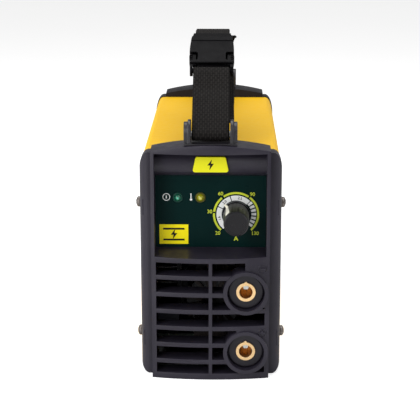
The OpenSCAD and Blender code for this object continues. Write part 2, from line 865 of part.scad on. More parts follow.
// Mains cable: out of the gland, down to a flat coil behind the case, and forward to the plug
cable_sides = 12;
coil_top = cable_r + coil_pitch * coil_turns;
lead_out = [[gland_x, 128, gland_z], [gland_x, 206, gland_z],
            [coil_r, 160, coil_top + 1], [coil_r, coil_y, coil_top]];
coil_out = coil_y - 20;
lead_in = [[-coil_r, coil_out, cable_r], [-coil_r, coil_out - 9, cable_r],
           [-coil_r, plug_y + 13, plug_r], [-coil_r, plug_y + 5, plug_r]];
cable_path = concat(
    [[gland_x, 86, gland_z]],
    [for (i = [0:24]) bezier(lead_out, i / 24)],
    [for (i = [1:24 * coil_turns]) let (a = 15 * i)
        [coil_r * cos(a), coil_y + coil_r * sin(a), coil_top - coil_pitch * a / 360]],
    [for (i = [0:10]) bezier(lead_in, i / 10)],
    [[-coil_r, plug_y - 8, plug_r]]);

// Ring of points round a path at point i, kept level so that the sweep doesn't twist
function cable_ring(i) =
    let (n = len(cable_path), a = cable_path[max(i - 1, 0)], b = cable_path[min(i + 1, n - 1)],
         d = unit(b - a), side = unit(cross(d, [0, 0, 1])), up = cross(side, d))
    [for (k = [0:cable_sides - 1]) let (w = 360 * k / cable_sides)
        cable_path[i] + cable_r * (cos(w) * side + sin(w) * up)];

module mains_cable() color([0.07, 0.07, 0.07]) {
    n = len(cable_path);
    points = [for (i = [0:n - 1]) each cable_ring(i)];
    sides = [for (i = [0:n - 2], k = [0:cable_sides - 1])
        let (a = i * cable_sides + k, b = i * cable_sides + (k + 1) % cable_sides)
        [a, b, b + cable_sides, a + cable_sides]];
    caps = [[for (k = [cable_sides - 1:-1:0]) k],
            [for (k = [0:cable_sides - 1]) (n - 1) * cable_sides + k]];
    polyhedron(points, concat(sides, caps), convexity = 10);
}

module cable_tie() color([0.1, 0.1, 0.1]) {
    in_y = coil_y + coil_r - cable_r - 0.8;
    out_y = coil_y + coil_r + cable_r + 0.5;
    low = 1.4;
    high = coil_top + cable_r - 1;
    difference() {
        block([-6, in_y - 1, low - 1], [6, out_y + 1, high + 1]);
        block([-7, in_y, low], [7, out_y, high]);
    }
}

module mains_plug() color([0.1, 0.1, 0.1]) {
    difference() {
        union() {
            rod_y(-coil_r, plug_r, plug_y - 40, plug_y - 34, plug_r - 1, plug_r);
            rod_y(-coil_r, plug_r, plug_y - 34, plug_y - 18, plug_r);
            rod_y(-coil_r, plug_r, plug_y - 18, plug_y - 8, plug_r, 8);
            rod_y(-coil_r, plug_r, plug_y - 8, plug_y + 4, 7);
        }
        rod_y(-coil_r, plug_r, plug_y - 12, plug_y + 5, cable_r + 0.05);
        for (side = [-9.5, 9.5]) rod_y(-coil_r + side, plug_r, plug_y - 41, plug_y - 28, 2.4);
    }
}

module plug_pins() color([0.8, 0.8, 0.8]) {
    for (side = [-9.5, 9.5])
        rod_y(-coil_r + side, plug_r, plug_y - 56, plug_y - 28.5, 2.38);
}

// Bracket on the lip: two ears that hold the strap's bar, joined by a low base
module strap_bracket() {
    difference() {
        union() {
            block([-ear_x - ear_t, yf(-9), 161], [ear_x + ear_t, yf(8), 165.4]);
            for (side = [0, 1])
                mirror([side, 0, 0]) {
                    block([ear_x, yf(-8.5), 162], [ear_x + 2.2, yf(7.5), 172]);
                    translate([ear_x + 1.1, 0, 0]) rod_x(yf(-0.5), 172, 2.2, 8);
                    block([ear_x, yf(-7), 162], [ear_x + ear_t, yf(6), 172]);
                    translate([ear_x + ear_t / 2, 0, 0]) rod_x(yf(-0.5), 172, ear_t, 6.5);
                }
        }
        along_y(yf(-bulge), 30)
            translate([0, lip_top - lip_r]) circle(lip_r, $fn = 360);
        rod_x(bar_y, bar_z, 2 * ear_x + 8, bar_r + 0.02);
    }
}

module front_strap_bracket() color([0.11, 0.11, 0.12]) strap_bracket();
module rear_strap_bracket() color([0.11, 0.11, 0.12]) mirror([0, 1, 0]) strap_bracket();

module strap_pins() color([0.7, 0.7, 0.72]) {
    for (y = [bar_y, -bar_y]) rod_x(y, bar_z, 2 * ear_x + 7.6, bar_r);
}

// Webbing loop round the front bar
module strap_loop() {
    difference() {
        rod_x(bar_y, bar_z, webbing_w, loop_r + webbing_t);
        rod_x(bar_y, bar_z, webbing_w + 1, loop_r);
    }
}

module front_strand() color([0.13, 0.13, 0.13]) {
    start = strap_start[0];
    path = concat([for (i = [0:10]) let (y = start + i * 3) [y, arch_z(y)]],
                  [for (along = [-30, -25, -22.5]) buckle_point(along)]);
    strap_loop();
    along_x(-webbing_w / 2, webbing_w) polygon(strip(path, webbing_t));
}

module rear_strand() color([0.13, 0.13, 0.13]) {
    steps = 30;
    path = concat([buckle_point(buckle_half - 6), buckle_point(buckle_half + 0.2)],
                  [for (i = [0:steps]) let (y = -14 + i * (-strap_start[0] + 14) / steps) [y, arch_z(y)]]);
    mirror([0, 1, 0]) strap_loop();
    along_x(-webbing_w / 2, webbing_w) polygon(strip(path, webbing_t));
}

// Loose end of the webbing, hanging behind the front strand
module strap_tail() color([0.13, 0.13, 0.13]) {
    curve = [buckle_point(20, -4.9), buckle_point(27, -22),
             buckle_point(0, -42), buckle_point(-42, -26)];
    path = [for (i = [0:16]) bezier(curve, i / 16)];
    along_x(-webbing_w / 2 + 4, webbing_w) polygon(strip(path, webbing_t));
}

// Plain bar with a slot for the webbing, and a flat tongue that guides it into the other half
module buckle_male() color([0.15, 0.15, 0.16]) {
    base_y = prong_y - 0.4;
    in_buckle()
        difference() {
            union() {
                block([-buckle_w / 2 + 0.5, -buckle_half, -4], [buckle_w / 2 - 0.5, base_y, 4]);
                block([-4, base_y - 0.1, -1.6], [4, 10, 1.6]);
            }
            block([-webbing_w / 2 - 0.3, -buckle_half - 1, -1.2],
                  [webbing_w / 2 + 0.3, base_y - 1.4, 1.2]);
            for (side = [-1, 1])
                translate([side * prong_x, prong_y, 0]) cylinder(h = 5, r = prong_r + fit, center = true);
        }
}

// Hollow half: its sides narrow and its back thins towards the webbing, with a notch for each prong
module buckle_female() color([0.15, 0.15, 0.16]) {
    w = buckle_w / 2;
    t = buckle_t / 2;
    in_buckle()
        difference() {
            intersection() {
                along_x(-w, 2 * w)
                    polygon([[mouth_y, -t], [14, -t], [buckle_half, 1.9 - t], [buckle_half, t - 1.9],
                             [14, t], [mouth_y, t]]);
                translate([0, 0, -t])
                    linear_extrude(buckle_t)
                        polygon([[-w, mouth_y], [w, mouth_y], [w, 8], [w - 1.6, buckle_half],
                                 [1.6 - w, buckle_half], [-w, 8]]);
            }
            block([-13.4, mouth_y - 1, -2.6], [13.4, 13, 2.6]);
            for (side = [0, 1])
                mirror([side, 0, 0])
                    block([notch_x, pad_y[0] - 0.4, -t - 1], [w + 1, pad_y[1] + 0.6, t + 1]);
            block([-webbing_w / 2 - 0.3, 18.4, -1.2], [webbing_w / 2 + 0.3, buckle_half + 1, 1.2]);
        }
}

// Sprung prong on the right: a slim arm that turns at its round root, with a thumb pad at its end
module buckle_prong() {
    in_buckle() {
        translate([prong_x, prong_y, 0]) cylinder(h = 4.4, r = prong_r, center = true);
        block([prong_x - prong_r, prong_y, -2.2], [prong_x + prong_r, pad_y[1], 2.2]);
        block([prong_x, pad_y[0], -3.4], [15.2, pad_y[1], 3.4]);
    }
}

module buckle_prong_right() color([0.15, 0.15, 0.16]) buckle_prong();
module buckle_prong_left() color([0.15, 0.15, 0.16]) mirror([1, 0, 0]) buckle_prong();

front_bezel();
rear_bezel();
top_cover();
base_tray();
case_screws_front();
case_screws_rear();
tray_screws();
control_label();
badge_plate();
led_holders();
led_power();
led_thermal();
knob_body();
knob_pointer();
pot_shaft();
pot_body();
pot_nut();
control_board();
negative_socket_body();
positive_socket_body();
negative_socket_contact();
positive_socket_contact();
socket_ring_nuts();
socket_stud_nuts();
output_busbars();
power_board();
board_standoffs();
heatsink_left();
heatsink_right();
igbts();
output_diodes();
bridge_rectifier();
bus_capacitors();
transformer_core();
transformer_winding();
choke_core();
choke_winding();
soft_start_relay();
switch_body();
switch_rocker();
fan_frame();
fan_rotor();
fan_screws();
cable_gland();
gland_nut();
mains_cable();
cable_tie();
mains_plug();
plug_pins();
front_strap_bracket();
rear_strap_bracket();
strap_pins();
front_strand();
rear_strand();
strap_tail();
buckle_male();
buckle_female();
buckle_prong_left();
buckle_prong_right();
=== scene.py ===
"""Looks for a portable stick welder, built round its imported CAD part.

The row frame is used throughout: +Z is up, the front faces -Y, and the origin is on the ground under
the middle of the case. Named sizes are in millimetres, and MM turns them into Blender's metres.
"""

import json
import math

import bmesh
import bpy
from mathutils import Matrix, Vector


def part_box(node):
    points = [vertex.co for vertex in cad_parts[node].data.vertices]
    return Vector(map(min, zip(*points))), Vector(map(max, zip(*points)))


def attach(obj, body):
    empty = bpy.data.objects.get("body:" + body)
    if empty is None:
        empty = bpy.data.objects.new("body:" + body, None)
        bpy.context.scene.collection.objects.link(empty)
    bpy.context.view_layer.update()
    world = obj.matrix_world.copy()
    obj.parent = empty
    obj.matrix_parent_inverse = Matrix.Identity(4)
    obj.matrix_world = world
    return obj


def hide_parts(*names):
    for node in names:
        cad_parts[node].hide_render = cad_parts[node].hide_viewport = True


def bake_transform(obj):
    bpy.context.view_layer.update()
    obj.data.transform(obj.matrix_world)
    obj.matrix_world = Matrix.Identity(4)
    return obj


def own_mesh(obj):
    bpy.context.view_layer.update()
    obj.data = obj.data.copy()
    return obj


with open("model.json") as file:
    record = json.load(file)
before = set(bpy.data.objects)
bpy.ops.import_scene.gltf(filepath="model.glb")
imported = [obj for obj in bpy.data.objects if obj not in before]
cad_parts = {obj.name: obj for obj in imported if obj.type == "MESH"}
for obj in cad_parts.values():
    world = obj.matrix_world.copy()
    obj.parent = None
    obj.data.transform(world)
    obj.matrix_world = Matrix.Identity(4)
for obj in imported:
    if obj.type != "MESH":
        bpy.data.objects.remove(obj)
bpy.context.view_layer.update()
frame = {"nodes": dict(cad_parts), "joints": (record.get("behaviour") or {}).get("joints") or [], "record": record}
cad_nodes = frame["nodes"]
joints = {joint["name"]: joint for joint in frame["joints"]}
MM = 0.001

# Camera, light and floor
CAMERA_PLACE = (12.0, -940.4, 342.1)
CAMERA_PITCH = 15.16
CAMERA_YAW = 0.86
CAMERA_LENS = 109.03
FLOOR_HALF = 9000
FLOOR_LIFT = 0.55
WORLD_LIGHT = 0.36
STAGE_MIDDLE = (0, 0, 90)

# Webbing
WEB_WIDTH = 25.0
WEB_THICK = 1.8
PICK = 1.95
YARN = 1.6
RELIEF = 0.34

# Strap: the arch runs between the two bars, and the buckle sits on it
BAR_Y, BAR_Z = (value / MM for value in joints["strap_fold"]["pos_m"][1:])
LOOP_R = 3.48
STRAND_RISE = 43
ARCH_END = -BAR_Y + LOOP_R * math.sin(math.radians(STRAND_RISE))
ARCH_LOW = BAR_Z + LOOP_R * math.cos(math.radians(STRAND_RISE))
ARCH_TOP = 225.0
REAR_TOP = 224.0
BUCKLE_Y, BUCKLE_Z = -50.0, 214.6
BUCKLE_PITCH = math.radians(22)
BUCKLE_HALF_W = 15.5
BUCKLE_HALF_L = 25.0
BUCKLE_HALF_T = 4.5
BUCKLE_MOUTH = -18.2

# Printed panel
PANEL_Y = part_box("control_label")[0].y / MM
PRINT_LIFT = 0.08
PRINT_SINK = 0.02
DIAL_X = joints["knob_turn"]["pos_m"][0] / MM
DIAL_Z = joints["knob_turn"]["pos_m"][2] / MM
LINE_RADII = (14.3, 15.7)
BAND_RADII = (9.8, 13.3)
DASH_RADII = (10.4, 13.7)


# ---------------------------------------------------------------- materials


class Look:
    """A node material: one Principled shader, and short calls for the nodes that feed it."""

    def __init__(self, name, color, roughness, metallic=0.0, **settings):
        self.material = bpy.data.materials.new(name)
        self.material.use_nodes = True
        self.tree = self.material.node_tree
        self.shader = self.tree.nodes["Principled BSDF"]
        self.place = self.add("TexCoord").outputs["Object"]
        self.normal = None
        self.color = (*color, 1)
        self.rough = roughness
        self.feed("Base Color", self.color)
        self.feed("Roughness", roughness)
        self.feed("Metallic", metallic)
        for key, value in settings.items():
            self.feed(key.replace("_", " "), value)

    def add(self, kind, inputs=None, **settings):
        """New node with its inputs set or linked."""
        node = self.tree.nodes.new("ShaderNode" + kind)
        for key, value in settings.items():
            setattr(node, key, value)
        for key, value in (inputs or {}).items():
            self.join(value, node.inputs[key])
        return node

    def join(self, value, socket):
        """Links a node's output to a socket, or sets the socket to a plain value."""
        if isinstance(value, bpy.types.NodeSocket):
            self.tree.links.new(value, socket)
        else:
            socket.default_value = value

    def feed(self, name, value):
        """Sets or links an input of the shader."""
        self.join(value, self.shader.inputs[name])

    def noise(self, size, detail=2.0, stretch=(1, 1, 1)):
        """Soft noise with blobs about size millimetres across."""
        where = self.add("Mapping", {"Vector": self.place, "Scale": stretch})
        scale = 1 / (size * MM)
        return self.add("TexNoise", {"Vector": where.outputs[0], "Scale": scale, "Detail": detail}).outputs[0]

    def cells(self, size, feature="F1"):
        """Cell pattern with cells about size millimetres across."""
        scale = 1 / (size * MM)
        return self.add("TexVoronoi", {"Vector": self.place, "Scale": scale}, feature=feature).outputs[0]

    def bands(self, pitch, direction="X", kind="BANDS", distortion=0.0):
        """Stripes, or rings, with the given pitch in millimetres."""
        scale = math.pi / (10 * pitch * MM)
        inputs = {"Vector": self.place, "Scale": scale, "Distortion": distortion, "Detail": 1.0}
        node = self.add("TexWave", inputs, wave_type=kind)
        if kind == "BANDS":
            node.bands_direction = direction
        else:
            node.rings_direction = direction
        return node.outputs[1]

    def span(self, value, low, high, start=0.0, end=1.0):
        """Maps value from low..high to start..end, clamped."""
        inputs = {"Value": value, "From Min": low, "From Max": high, "To Min": start, "To Max": end}
        return self.add("MapRange", inputs).outputs[0]

    def math(self, operation, a, b=0.0):
        """Result of a math node."""
        node = self.add("Math", operation=operation)
        self.join(a, node.inputs[0])
        self.join(b, node.inputs[1])
        return node.outputs[0]

    def mix(self, share, a, b):
        """Colour between a and b."""
        node = self.add("Mix", data_type="RGBA")
        for value, index in ((share, 0), (a, 6), (b, 7)):
            if isinstance(value, tuple):
                value = (*value[:3], 1)
            self.join(value, node.inputs[index])
        return node.outputs[2]

    def tint(self, share, other):
        """Blends the base colour towards other by share."""
        self.color = self.mix(share, self.color, other)
        self.feed("Base Color", self.color)

    def vary(self, value, swing):
        """Roughness that moves by swing either way with value."""
        self.rough = self.math("ADD", self.span(value, 0.3, 0.7, -swing, swing), self.rough)
        self.feed("Roughness", self.rough)

    def bump(self, height, depth):
        """Adds relief of the given depth in millimetres."""
        inputs = {"Height": height, "Distance": depth * MM, "Strength": 1.0}
        if self.normal:
            inputs["Normal"] = self.normal
        self.normal = self.add("Bump", inputs).outputs[0]
        self.feed("Normal", self.normal)

    def edges(self, radius):
        """1 on sharp edges, 0 on flats."""
        rounded = self.add("Bevel", {"Radius": radius * MM}, samples=4).outputs[0]
        true = self.add("NewGeometry").outputs["True Normal"]
        along = self.add("VectorMath", {0: rounded, 1: true}, operation="DOT_PRODUCT").outputs["Value"]
        return self.span(along, 0.98, 0.75)

    def facing(self, axis):
        """How squarely the surface faces along an axis, either way: 0 to 1."""
        normal = self.add("NewGeometry").outputs["Normal"]
        along = self.add("VectorMath", {0: normal, 1: axis}, operation="DOT_PRODUCT").outputs["Value"]
        return self.math("ABSOLUTE", along)


def moulded(name, color, roughness, grain=0.45, depth=0.03, wear=0.35, **settings):
    """Moulded plastic: spark-eroded grain, slow colour drift, and edges rubbed lighter."""
    settings.setdefault("Specular_IOR_Level", 0.35)
    look = Look(name, color, roughness, **settings)
    light = tuple(min(1.0, channel * 2.2 + 0.01) for channel in color)
    look.tint(look.span(look.noise(35, 3), 0.35, 0.7, 0, 0.25), light)
    look.tint(look.math("MULTIPLY", look.edges(0.5), wear), light)
    dust = look.span(look.noise(0.9, 4), 0.62, 0.78, 0, 0.04)
    look.tint(dust, (0.35, 0.34, 0.33))
    look.vary(look.noise(6, 3), 0.07)
    look.bump(look.noise(grain, 3), depth)
    look.bump(look.cells(grain * 1.7), depth * 0.5)
    return look.material


def powder_coat(name, color):
    """Powder coat: orange peel, a faint sparkle of pigment, and thin spots on the folds."""
    look = Look(name, color, 0.45, Specular_IOR_Level=0.18)
    look.tint(look.span(look.noise(60, 2), 0.3, 0.7, 0, 0.12), (1.0, 0.68, 0.05))
    look.tint(look.span(look.noise(0.5, 3), 0.6, 0.8, 0, 0.15), (0.75, 0.4, 0.01))
    look.tint(look.math("MULTIPLY", look.edges(0.6), 0.2), (1.0, 0.8, 0.3))
    look.vary(look.noise(4, 3), 0.05)
    look.bump(look.noise(1.6, 2), 0.035)
    look.bump(look.noise(0.35, 2), 0.01)
    return look.material


def worked_metal(name, color, roughness, stretch, grain=0.25, depth=0.012, wear=0.4):
    """Metal with fine marks drawn out along one direction, tarnish, and bright edges."""
    look = Look(name, color, roughness, metallic=1.0)
    dull = tuple(channel * 0.62 for channel in color)
    look.tint(look.span(look.noise(7, 4), 0.35, 0.75, 0, 0.5), dull)
    look.tint(look.math("MULTIPLY", look.edges(0.3), wear), (0.95, 0.94, 0.9))
    marks = look.noise(grain, 3, stretch)
    look.vary(marks, 0.12)
    look.bump(marks, depth)
    return look.material


def printed_film(name, color):
    """Glossy printed film with a fine pebble and faint wipe marks."""
    look = Look(name, color, 0.35, Specular_IOR_Level=0.05)
    pale = tuple(min(1.0, channel * 1.3 + 0.001) for channel in color)
    look.tint(look.span(look.noise(22, 2), 0.35, 0.7, 0, 0.3), pale)
    look.vary(look.noise(9, 4, (1, 1, 3)), 0.08)
    look.bump(look.cells(0.5), 0.006)
    return look.material


def ink(name, color, roughness=0.4):
    """Screen-printed ink: nearly flat, with a dry, slightly uneven surface."""
    look = Look(name, color, roughness, Specular_IOR_Level=0.15)
    look.tint(look.span(look.noise(0.6, 3), 0.45, 0.75, 0, 0.14), tuple(c * 0.7 for c in color))
    look.vary(look.noise(1.5, 2), 0.06)
    look.bump(look.noise(0.25, 2), 0.004)
    return look.material


def lens(name, color, painted_glow):
    """Tinted epoxy lamp lens: deep colour, with a painted bright core and a faint painted glow where it faces
    straight out.
    """
    look = Look(name, color, 0.12, Coat_Weight=0.4, Coat_Roughness=0.05)
    # Painted glow: where the lens faces front or back it is tinted towards a bright colour and given a faint
    # emission.
    core = look.span(look.facing((0, 1, 0)), 0.9, 1.0)
    look.tint(core, painted_glow)
    look.tint(look.span(look.noise(1.2, 2), 0.4, 0.7, 0, 0.25), tuple(c * 0.6 for c in color))
    look.feed("Emission Color", (*painted_glow, 1))
    look.feed("Emission Strength", look.math("MULTIPLY", core, 0.12))
    look.bump(look.noise(0.8, 2), 0.01)
    return look.material


def woven(name, color):
    """Webbing yarn: painted shade in the gaps, a painted sheen on the raised floats, and loose filament."""
    look = Look(name, color, 0.7, Specular_IOR_Level=0.12)
    height = look.add("Attribute", attribute_name="relief").outputs["Fac"]
    # Painted shade: the low points of the weave, read from the relief attribute, are darkened.
    look.tint(look.span(height, 0.55, 0.0, 0, 0.85), tuple(c * 0.2 for c in color))
    # Painted sheen: the high points of the weave are lightened.
    look.tint(look.span(height, 0.65, 0.95, 0, 0.7), (0.05, 0.044, 0.04))
    look.tint(look.span(look.noise(0.5, 3), 0.55, 0.8, 0, 0.3), (0.05, 0.043, 0.038))
    look.vary(look.noise(2, 2), 0.08)
    look.bump(look.noise(0.16, 3, (1, 0.3, 0.3)), 0.03)
    return look.material


def rubber(name, color):
    """Extruded rubber sheath: matt, with a bloom and scuffs."""
    look = Look(name, color, 0.62)
    look.tint(look.span(look.noise(14, 4), 0.45, 0.75, 0, 0.35), (0.07, 0.068, 0.065))
    look.tint(look.span(look.noise(1.4, 4), 0.64, 0.78, 0, 0.3), (0.16, 0.155, 0.15))
    look.vary(look.noise(5, 3), 0.1)
    look.bump(look.noise(0.6, 3), 0.03)
    return look.material


def circuit_board(name):
    """Solder mask over copper tracks, with tinned pads; the mask is darker than its own green, as painted shade
    for the inside of the case.
    """
    # Painted shade: mask and track colours are darkened for the inside of the case.
    look = Look(name, (0.003, 0.014, 0.007), 0.4, Coat_Weight=0.1)
    tracks = look.math("GREATER_THAN", look.cells(4.5, "DISTANCE_TO_EDGE"), 0.12)
    look.tint(look.math("MULTIPLY", tracks, 0.6), (0.006, 0.03, 0.013))
    look.tint(look.math("LESS_THAN", look.cells(3.2), 0.16), (0.3, 0.29, 0.27))
    look.vary(look.noise(3, 2), 0.08)
    look.bump(tracks, 0.03)
    return look.material


def wire_wound(name, color, pitch, direction):
    """Enamelled wire laid side by side, with painted shade in the grooves between the turns."""
    look = Look(name, color, 0.45, metallic=0.6, Coat_Weight=0.1)
    turns = look.bands(pitch, direction)
    # Painted shade: the grooves between the turns are darkened.
    look.tint(look.span(turns, 0.35, 0.0, 0, 0.8), tuple(c * 0.2 for c in color))
    look.tint(look.span(look.noise(8, 3), 0.4, 0.7, 0, 0.35), tuple(c * 0.55 for c in color))
    look.vary(look.noise(2, 2), 0.08)
    look.bump(turns, pitch * 0.3)
    return look.material


def ferrite(name):
    """Sintered core: dark grey, grainy, with pale chipped edges."""
    look = Look(name, (0.035, 0.035, 0.038), 0.55)
    look.tint(look.math("MULTIPLY", look.edges(0.6), 0.5), (0.16, 0.16, 0.17))
    look.tint(look.span(look.noise(0.7, 4), 0.6, 0.75, 0, 0.4), (0.1, 0.1, 0.105))
    look.vary(look.noise(3, 3), 0.1)
    look.bump(look.noise(0.8, 4), 0.05)
    return look.material


def lamp_holder(name):
    """Dark chromed holders, with each lamp's coloured reflection painted into the holder's colour."""
    # Painted reflection: the green of the power lamp is put into the holder's base colour.
    look = Look(name, (0.003, 0.05, 0.035), 0.35, metallic=0.4)
    across = look.add("SeparateXYZ", {"Vector": look.place}).outputs["X"]
    # Painted reflection: the holder towards +X, round the yellow lamp, is tinted yellow.
    look.tint(look.span(across, -16 * MM, -13 * MM), (0.1, 0.095, 0.008))
    look.tint(look.math("MULTIPLY", look.edges(0.3), 0.2), (0.3, 0.32, 0.3))
    look.vary(look.noise(0.8, 3), 0.08)
    look.bump(look.noise(0.4, 2), 0.01)
    return look.material


def floor_look(name):
    """Pale painted studio floor with a barely visible tooth, lifted to white for the camera only."""
    look = Look(name, (0.86, 0.86, 0.86), 0.9, Specular_IOR_Level=0.1)
    look.tint(look.span(look.noise(400, 2), 0.3, 0.7, 0, 0.3), (0.9, 0.9, 0.9))
    look.bump(look.noise(3, 2), 0.02)
    seen = look.add("LightPath").outputs["Is Camera Ray"]
    look.feed("Emission Color", (1, 1, 1, 1))
    look.feed("Emission Strength", look.math("MULTIPLY", seen, FLOOR_LIFT))
    return look.material


case_black = moulded("case_black", (0.0175, 0.015, 0.0245), 0.42, Specular_IOR_Level=0.32)
# Painted shade: the rear bezel is the same plastic as the front bezel, made darker and less shiny here to shade
# it.
shaded_rear_black = moulded("shaded_rear_black", (0.009, 0.008, 0.011), 0.45, Specular_IOR_Level=0.16)
yellow = powder_coat("yellow", (0.93, 0.54, 0.012))
zinc = worked_metal("zinc", (0.55, 0.56, 0.57), 0.38, (1, 0.06, 1))
screw_dark = worked_metal("screw_dark", (0.16, 0.14, 0.13), 0.36, (1, 1, 1))
nut_steel = worked_metal("nut_steel", (0.5, 0.5, 0.49), 0.35, (1, 1, 1))
film_green = printed_film("film_green", (0.0006, 0.0125, 0.0118))
badge_yellow = printed_film("badge_yellow", (0.74, 0.72, 0.02))
lamp_ring = lamp_holder("lamp_ring")
lamp_green = lens("lamp_green", (0.003, 0.1, 0.055), (0.08, 0.5, 0.32))
lamp_yellow = lens("lamp_yellow", (0.3, 0.29, 0.006), (0.7, 0.68, 0.12))
knob_dark = moulded("knob_dark", (0.0035, 0.0032, 0.0048), 0.32, grain=0.3, depth=0.006,
                    Specular_IOR_Level=0.3)
cream = moulded("cream", (0.86, 0.83, 0.69), 0.45, grain=0.3, depth=0.01, wear=0.2)
shaft_metal = worked_metal("shaft_metal", (0.55, 0.55, 0.52), 0.3, (1, 0.1, 1))
package_black = moulded("package_black", (0.012, 0.012, 0.013), 0.5, grain=0.3)
# Painted shade: the board's colours, set in circuit_board, are darkened for the inside of the case.
board_green = circuit_board("board_green")
socket_black = moulded("socket_black", (0.0095, 0.008, 0.0125), 0.4, grain=0.3, depth=0.015)
brass = worked_metal("brass", (0.96, 0.66, 0.34), 0.33, (1, 0.05, 1), depth=0.003, wear=0.5)
# Painted shade: the busbar sleeve is darkened for the inside of the case.
sleeved_bar = moulded("sleeved_bar", (0.009, 0.0045, 0.004), 0.55, grain=0.3, Specular_IOR_Level=0.2)
# Painted shade: both windings are darkened for the inside of the case.
winding_dark = wire_wound("winding_dark", (0.016, 0.007, 0.0035), 1.1, "Z")
winding_copper = wire_wound("winding_copper", (0.012, 0.005, 0.0022), 1.2, "Y")
fin_black = worked_metal("fin_black", (0.03, 0.03, 0.032), 0.5, (1, 0.05, 1))
# Painted shade: the capacitor sleeve is darkened nearly to black for the inside of the case.
sleeve_blue = printed_film("sleeve_blue", (0.003, 0.005, 0.02))
core_grey = ferrite("core_grey")
# Painted shade: the relay is darkened for the inside of the case.
relay_blue = moulded("relay_blue", (0.002, 0.004, 0.016), 0.4, grain=0.3, depth=0.01)
switch_black = moulded("switch_black", (0.012, 0.012, 0.013), 0.3, grain=0.3, depth=0.01)
rocker_red = moulded("rocker_red", (0.5, 0.02, 0.012), 0.25, grain=0.3, depth=0.006)
fan_black = moulded("fan_black", (0.014, 0.014, 0.015), 0.45)
nylon_black = moulded("nylon_black", (0.016, 0.016, 0.017), 0.42, grain=0.6)
sheath = rubber("sheath", (0.018, 0.017, 0.016))
plated = worked_metal("plated", (0.72, 0.71, 0.69), 0.16, (1, 0.2, 1), depth=0.004)
bracket_black = moulded("bracket_black", (0.014, 0.0127, 0.0165), 0.34, grain=0.35, depth=0.02,
                        Specular_IOR_Level=0.5)
bar_steel = worked_metal("bar_steel", (0.42, 0.42, 0.43), 0.35, (0.1, 1, 1))
web_black = woven("web_black", (0.0062, 0.0052, 0.0048))
buckle_black = moulded("buckle_black", (0.002, 0.0018, 0.0024), 0.4, grain=0.35, depth=0.012, wear=0.12,
                       Specular_IOR_Level=0.04)
ink_white = ink("ink_white", (0.8, 0.81, 0.8))
ink_lime = ink("ink_lime", (0.55, 0.62, 0.04))
ink_yellow = ink("ink_yellow", (0.92, 0.78, 0.003), 0.35)
ink_black = ink("ink_black", (0.006, 0.006, 0.006))
key_grey = worked_metal("key_grey", (0.6, 0.61, 0.58), 0.3, (1, 1, 1))

CAD_LOOKS = (
    (case_black, "front_bezel"),
    (shaded_rear_black, "rear_bezel"),
    (yellow, "top_cover"),
    (zinc, "base_tray board_standoffs tray_screws"),
    (screw_dark, "case_screws_front case_screws_rear fan_screws"),
    (nut_steel, "socket_stud_nuts pot_nut"),
    (film_green, "control_label"),
    (badge_yellow, "badge_plate"),
    (lamp_ring, "led_holders"),
    (lamp_green, "led_power"),
    (lamp_yellow, "led_thermal"),
    (knob_dark, "knob_body"),
    (cream, "knob_pointer"),
    (shaft_metal, "pot_shaft"),
    (package_black, "pot_body igbts output_diodes bridge_rectifier"),
    (board_green, "control_board power_board"),
    (socket_black, "negative_socket_body positive_socket_body socket_ring_nuts"),
    (brass, "negative_socket_contact positive_socket_contact"),
    (sleeved_bar, "output_busbars"),
    (winding_dark, "transformer_winding"),
    (winding_copper, "choke_winding"),
    (fin_black, "heatsink_left heatsink_right"),
    (sleeve_blue, "bus_capacitors"),
    (core_grey, "transformer_core choke_core"),
    (relay_blue, "soft_start_relay"),
    (switch_black, "switch_body"),
    (rocker_red, "switch_rocker"),
    (fan_black, "fan_frame fan_rotor"),
    (nylon_black, "cable_gland gland_nut cable_tie mains_plug"),
    (sheath, "mains_cable"),
    (plated, "plug_pins"),
    (bracket_black, "front_strap_bracket rear_strap_bracket"),
    (bar_steel, "strap_pins"),
    (web_black, "front_strand rear_strand strap_tail"),
    (buckle_black, "buckle_male buckle_female buckle_prong_left buckle_prong_right"),
)

# Rounding of the edges of the CAD nodes, in millimetres
ROUNDED = (
    (0.7, "front_bezel rear_bezel"),
    (0.25, "badge_plate knob_body negative_socket_body positive_socket_body led_holders"),
    (0.3, "negative_socket_contact positive_socket_contact switch_body switch_rocker"),
    (0.5, "front_strap_bracket rear_strap_bracket cable_gland mains_plug cable_tie"),
    (0.2, "case_screws_front case_screws_rear fan_screws tray_screws knob_pointer plug_pins"),
)


# ---------------------------------------------------------------- mesh helpers


def mesh_object(name, vertices, faces, material, smooth=True):
    """An object from vertices in millimetres."""
    mesh = bpy.data.meshes.new(name)
    mesh.from_pydata([Vector(v) * MM for v in vertices], [], faces)
    mesh.materials.append(material)
    mesh.polygons.foreach_set("use_smooth", [smooth] * len(mesh.polygons))
    mesh.update()
    made = bpy.data.objects.new(name, mesh)
    bpy.context.scene.collection.objects.link(made)
    return made


def bake(made):
    """Applies every modifier of an object to its mesh."""
    evaluated = made.evaluated_get(bpy.context.evaluated_depsgraph_get())
    mesh = bpy.data.meshes.new_from_object(evaluated)
    made.modifiers.clear()
    made.data = mesh
    return made


def round_edges(made, radius, segments=3):
    """Joins split edges, merges flat faces, and rounds what is left over 32 degrees."""
    made.modifiers.new("weld", "WELD").merge_threshold = 1e-6
    flat = made.modifiers.new("flat", "DECIMATE")
    flat.decimate_type = "DISSOLVE"
    flat.angle_limit = math.radians(0.5)
    bevel = made.modifiers.new("round", "BEVEL")
    bevel.width = radius * MM
    bevel.segments = segments
    bevel.limit_method = "ANGLE"
    bevel.angle_limit = math.radians(32)
    bevel.harden_normals = True


